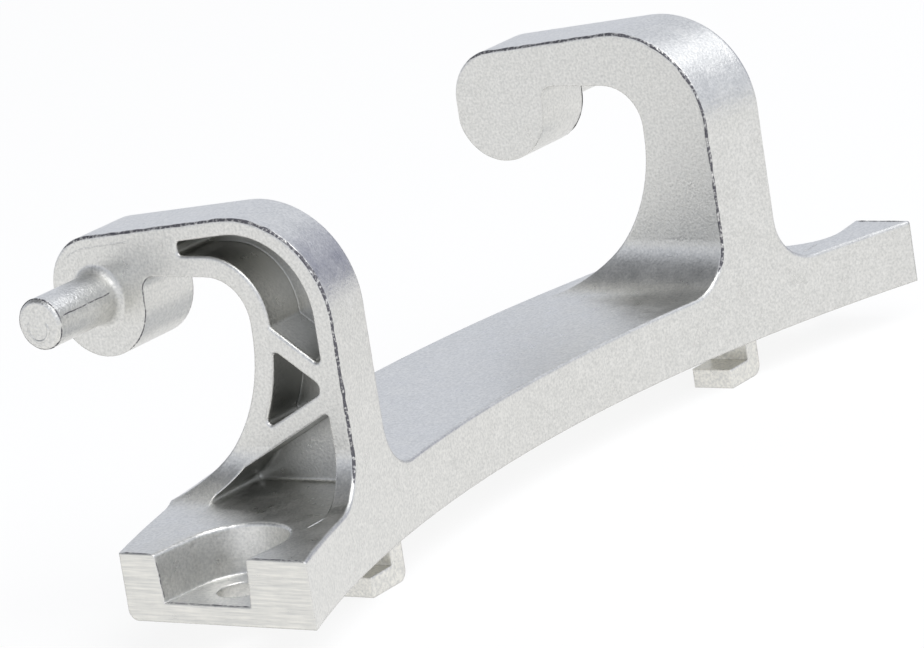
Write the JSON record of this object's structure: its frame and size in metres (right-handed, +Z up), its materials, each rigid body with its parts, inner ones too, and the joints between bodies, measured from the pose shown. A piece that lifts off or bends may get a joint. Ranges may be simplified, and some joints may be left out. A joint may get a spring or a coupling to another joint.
{
  "type": "washing machine door hinge",
  "caption": "One-piece die-cast door hinge: curved plate with gooseneck arms, cast hinge pins, ribbed sides, end screw seats and hooks underneath.",
  "frame": {"origin": "midway between the two screw holes, on the seating face under the plate", "axes": "+X along the plate towards the end that the hook toes point to, +Y to the concave wall, away from the hinge pins, +Z up out of the seating face"},
  "size_m": [0.18, 0.0607, 0.0602],
  "materials": {
    "cast_aluminium": "bare satin die casting, lightly blasted, with sawn end faces"
  },
  "bodies": {
    "root": {"hinge_casting": "cast_aluminium"}
  },
  "joints": []
}
